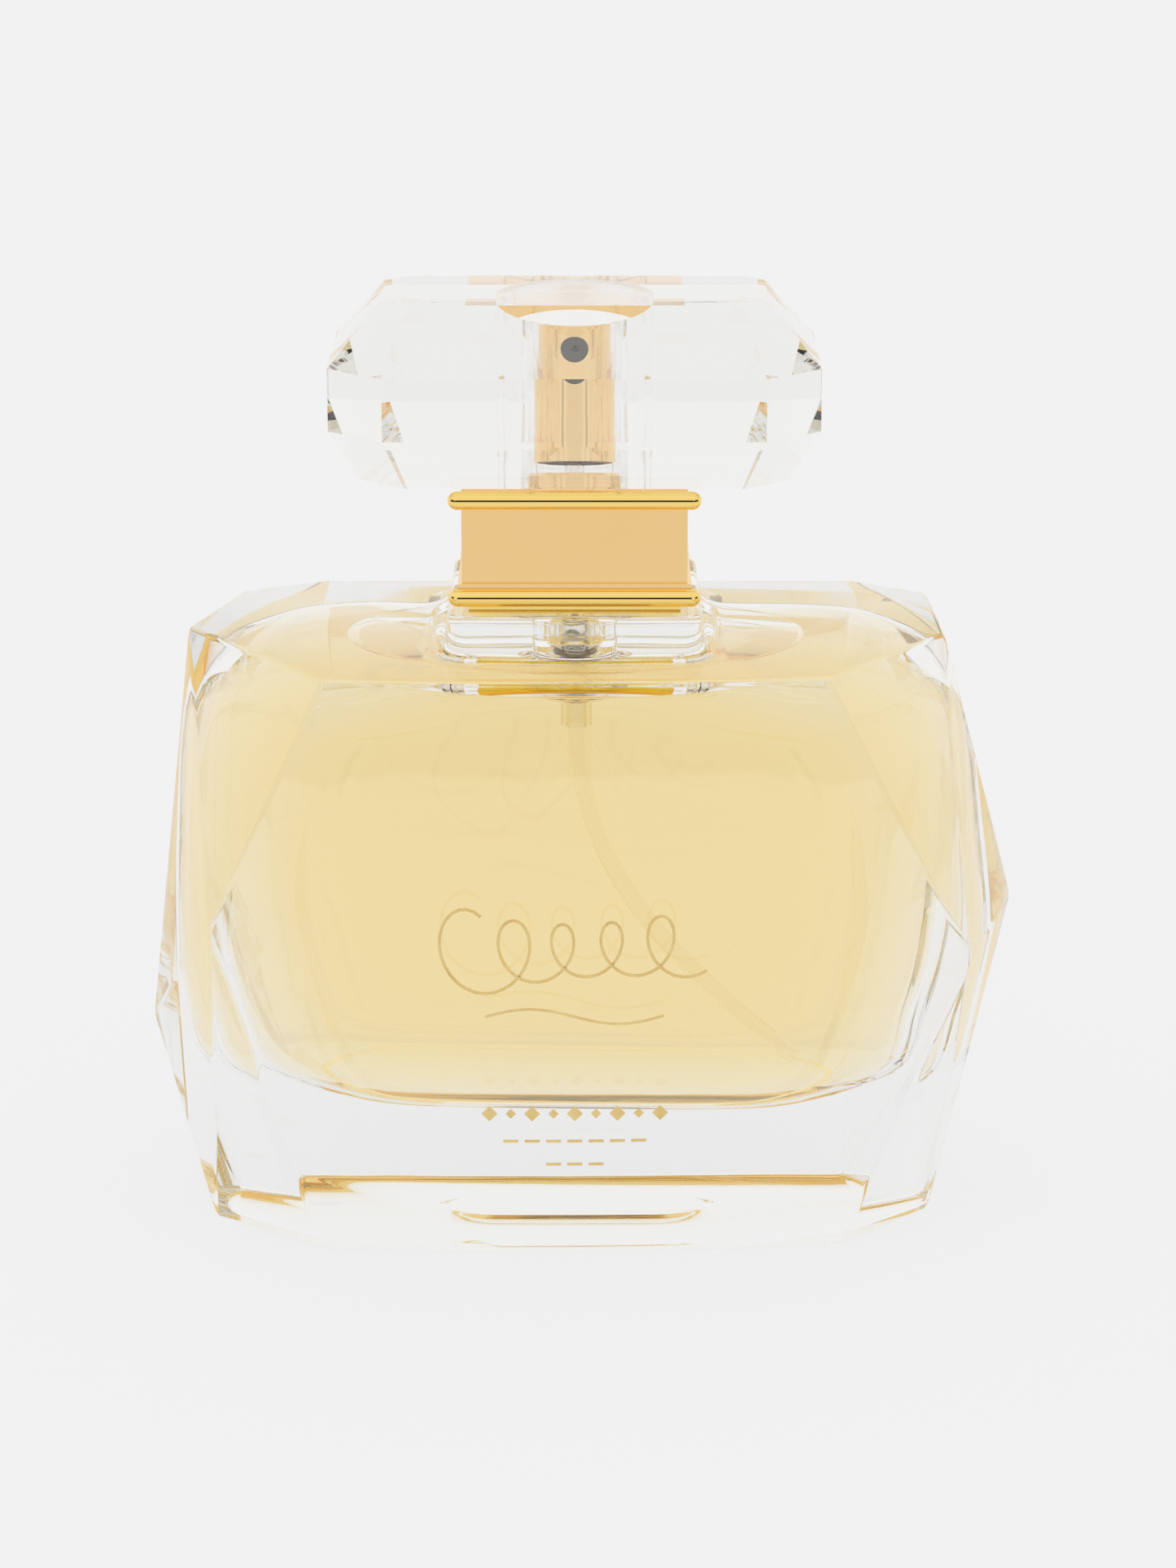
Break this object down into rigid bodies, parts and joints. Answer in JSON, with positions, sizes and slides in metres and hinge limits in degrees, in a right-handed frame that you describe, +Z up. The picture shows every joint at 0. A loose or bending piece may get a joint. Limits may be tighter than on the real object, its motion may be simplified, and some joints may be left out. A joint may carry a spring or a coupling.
{
  "type": "perfume bottle",
  "caption": "Faceted clear glass perfume bottle with pale yellow perfume, square gilt collar, crimped spray pump and a clear bevelled lift-off cap.",
  "frame": {"origin": "centre of the base on the surface it stands on, under the neck's axis", "axes": "+Z up along the neck, +X to the viewer's right, the front face with the foil looks along -Y"},
  "size_m": [0.1, 0.0459, 0.1063],
  "materials": {
    "bottle_glass": "polished",
    "perfume": "clear pale yellow liquid",
    "clear_acrylic": "polished",
    "clear_plastic": "clear moulded",
    "white_plastic": "moulded",
    "grey_plastic": "moulded",
    "seal_rubber": "satin",
    "steel": "bright",
    "gilt": "polished gold-coloured anodised",
    "foil": "hot-stamped foil",
    "label": "plain clear-coated sticker"
  },
  "bodies": {
    "bottle": {"glass_bottle": "bottle_glass", "perfume": "perfume", "base_label": "label", "front_flourish": "foil", "front_bands": "foil", "dip_tube": "clear_plastic", "neck_gasket": "white_plastic", "pump_housing": "white_plastic", "return_spring": "steel", "stem_seal": "seal_rubber", "pump_turret": "white_plastic", "crimp_ferrule": "gilt", "collar_base_plate": "gilt", "collar_liner": "white_plastic", "collar_block": "gilt", "neck_ring": "gilt"},
    "spray_head": {"actuator_core": "white_plastic", "actuator_shell": "gilt", "nozzle_insert": "grey_plastic", "pump_stem": "white_plastic", "pump_piston": "white_plastic"},
    "check_valve": {"check_ball": "steel"},
    "cap": {"cap_body": "clear_acrylic", "cap_sleeve": "clear_plastic", "cap_grip_ring": "clear_plastic"}
  },
  "joints": [
    {"name": "cap_lift", "type": "slide", "parent": "bottle", "child": "cap", "axis": [0, 0, 1], "range_m": [0, 0.03]},
    {"name": "spray_press", "type": "slide", "parent": "bottle", "child": "spray_head", "axis": [0, 0, -1], "range_m": [0, 0.0035], "stiffness_N_per_m": 2500, "springref_m": -0.002, "deforming": ["return_spring"]},
    {"name": "check_ball_lift", "type": "slide", "parent": "bottle", "child": "check_valve", "axis": [0, 0, 1], "range_m": [0, 0.0006]}
  ]
}
